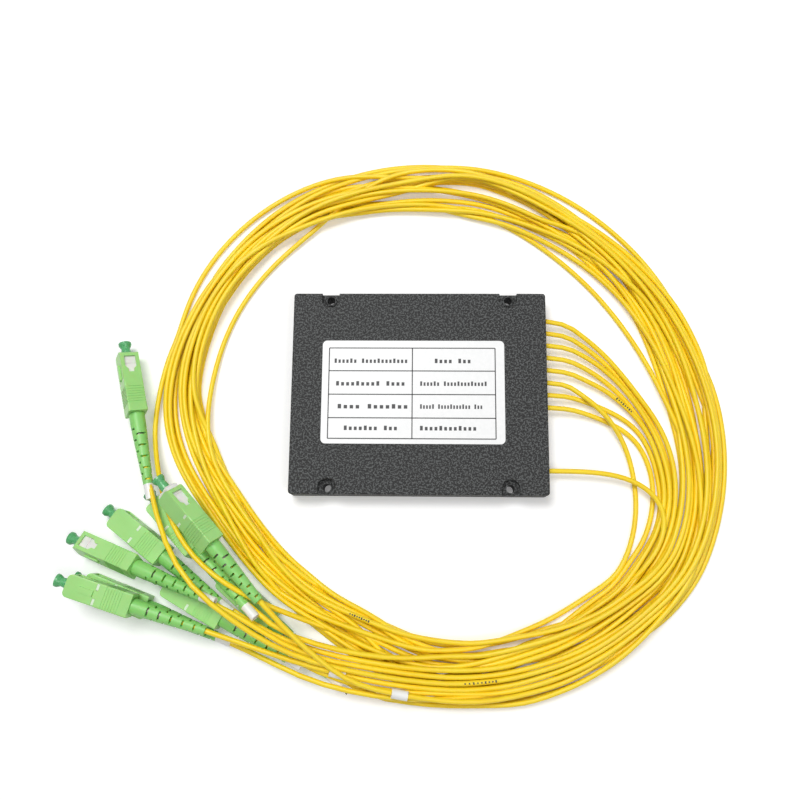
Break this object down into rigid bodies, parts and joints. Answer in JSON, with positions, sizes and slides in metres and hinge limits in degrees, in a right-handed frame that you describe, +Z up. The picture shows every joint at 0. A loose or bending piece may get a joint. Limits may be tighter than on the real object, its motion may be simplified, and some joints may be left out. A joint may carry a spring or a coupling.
{
  "type": "fibre optic splitter",
  "caption": "Flat boxed fibre optic splitter with thin jacketed cords in a loose oval coil, each ending in a push-pull plug with a slotted boot and a dust cap.",
  "frame": {"origin": "centre of the underside of the case", "axes": "+X is the long side of the case, towards the face that the cords leave; +Z up, normal to the lid"},
  "size_m": [0.2575, 0.2207, 0.0255],
  "materials": {
    "case_plastic": "fine spark-eroded texture",
    "label_film": "printed film",
    "comb_plastic": "moulded",
    "device_steel": "brushed",
    "inner_fibre": "bare buffer",
    "grip_plastic": "satin",
    "frame_plastic": "moulded",
    "boot_elastomer": "satin",
    "cap_plastic": "slightly clear",
    "ferrule_ceramic": "polished",
    "spring_steel": "drawn wire",
    "crimp_metal": "plated",
    "tag_plastic": "moulded sleeve",
    "cord_jacket": "satin jacket"
  },
  "bodies": {
    "splitter": {"case_base": "case_plastic", "case_lid": "case_plastic", "spec_label": "label_film", "outlet_comb": "comb_plastic", "device_cradle": "case_plastic", "splitter_device": "device_steel", "fanout_block": "comb_plastic", "output_ribbon": "inner_fibre", "output_fibres": "inner_fibre", "input_fibre": "inner_fibre", "plug_frame_a": "frame_plastic", "boot_a": "boot_elastomer", "plug_frame_b": "frame_plastic", "boot_b": "boot_elastomer", "plug_frame_c": "frame_plastic", "boot_c": "boot_elastomer", "plug_frame_d": "frame_plastic", "boot_d": "boot_elastomer", "plug_frame_e": "frame_plastic", "boot_e": "boot_elastomer", "plug_frame_f": "frame_plastic", "boot_f": "boot_elastomer", "plug_frame_g": "frame_plastic", "boot_g": "boot_elastomer", "plug_frame_h": "frame_plastic", "boot_h": "boot_elastomer", "plug_frame_i": "frame_plastic", "boot_i": "boot_elastomer", "ferrules": "ferrule_ceramic", "ferrule_springs": "spring_steel", "crimp_sleeves": "crimp_metal", "number_tags": "tag_plastic", "fibre_1": "cord_jacket", "fibre_2": "cord_jacket", "fibre_3": "cord_jacket", "fibre_4": "cord_jacket", "fibre_5": "cord_jacket", "fibre_6": "cord_jacket", "fibre_7": "cord_jacket", "fibre_8": "cord_jacket", "fibre_in": "cord_jacket", "fibre_coil": "cord_jacket"},
    "grip_a": {"grip_a": "grip_plastic"},
    "dust_cap_a": {"dust_cap_a": "cap_plastic"},
    "grip_b": {"grip_b": "grip_plastic"},
    "dust_cap_b": {"dust_cap_b": "cap_plastic"},
    "grip_c": {"grip_c": "grip_plastic"},
    "dust_cap_c": {"dust_cap_c": "cap_plastic"},
    "grip_d": {"grip_d": "grip_plastic"},
    "dust_cap_d": {"dust_cap_d": "cap_plastic"},
    "grip_e": {"grip_e": "grip_plastic"},
    "dust_cap_e": {"dust_cap_e": "cap_plastic"},
    "grip_f": {"grip_f": "grip_plastic"},
    "dust_cap_f": {"dust_cap_f": "cap_plastic"},
    "grip_g": {"grip_g": "grip_plastic"},
    "dust_cap_g": {"dust_cap_g": "cap_plastic"},
    "grip_h": {"grip_h": "grip_plastic"},
    "dust_cap_h": {"dust_cap_h": "cap_plastic"},
    "grip_i": {"grip_i": "grip_plastic"},
    "dust_cap_i": {"dust_cap_i": "cap_plastic"}
  },
  "joints": [
    {"name": "grip_a_release", "type": "slide", "parent": "splitter", "child": "grip_a", "axis": [0.2574, -0.9606, 0.1045], "range_m": [0, 0.002]},
    {"name": "cap_a_pull", "type": "slide", "parent": "splitter", "child": "dust_cap_a", "axis": [-0.2574, 0.9606, -0.1045], "range_m": [0, 0.008]},
    {"name": "grip_b_release", "type": "slide", "parent": "splitter", "child": "grip_b", "axis": [0.6691, -0.7431, 0], "range_m": [-0.002, 0]},
    {"name": "cap_b_pull", "type": "slide", "parent": "splitter", "child": "dust_cap_b", "axis": [-0.6691, 0.7431, 0], "range_m": [0, 0.008]},
    {"name": "grip_c_release", "type": "slide", "parent": "splitter", "child": "grip_c", "axis": [0.6972, -0.6972, 0.1668], "range_m": [0, 0.002]},
    {"name": "cap_c_pull", "type": "slide", "parent": "splitter", "child": "dust_cap_c", "axis": [-0.6972, 0.6972, -0.1668], "range_m": [0, 0.008]},
    {"name": "grip_d_release", "type": "slide", "parent": "splitter", "child": "grip_d", "axis": [0.8019, -0.5826, 0.1323], "range_m": [0, 0.002]},
    {"name": "cap_d_pull", "type": "slide", "parent": "splitter", "child": "dust_cap_d", "axis": [-0.8019, 0.5826, -0.1323], "range_m": [0, 0.008]},
    {"name": "grip_e_release", "type": "slide", "parent": "splitter", "child": "grip_e", "axis": [0.9179, -0.3524, 0.1822], "range_m": [0, 0.002]},
    {"name": "cap_e_pull", "type": "slide", "parent": "splitter", "child": "dust_cap_e", "axis": [-0.9179, 0.3524, -0.1822], "range_m": [0, 0.008]},
    {"name": "grip_f_release", "type": "slide", "parent": "splitter", "child": "grip_f", "axis": [0.9536, -0.3007, -0.0175], "range_m": [0, 0.002]},
    {"name": "cap_f_pull", "type": "slide", "parent": "splitter", "child": "dust_cap_f", "axis": [-0.9536, 0.3007, 0.0175], "range_m": [0, 0.008]},
    {"name": "grip_g_release", "type": "slide", "parent": "splitter", "child": "grip_g", "axis": [0.9334, -0.3583, -0.0175], "range_m": [0, 0.002]},
    {"name": "cap_g_pull", "type": "slide", "parent": "splitter", "child": "dust_cap_g", "axis": [-0.9334, 0.3583, 0.0175], "range_m": [0, 0.008]},
    {"name": "grip_h_release", "type": "slide", "parent": "splitter", "child": "grip_h", "axis": [0.8734, -0.4841, 0.0523], "range_m": [0, 0.002]},
    {"name": "cap_h_pull", "type": "slide", "parent": "splitter", "child": "dust_cap_h", "axis": [-0.8734, 0.4841, -0.0523], "range_m": [0, 0.008]},
    {"name": "grip_i_release", "type": "slide", "parent": "splitter", "child": "grip_i", "axis": [0.7604, -0.6494, 0], "range_m": [0, 0.002]},
    {"name": "cap_i_pull", "type": "slide", "parent": "splitter", "child": "dust_cap_i", "axis": [-0.7604, 0.6494, 0], "range_m": [0, 0.008]}
  ]
}
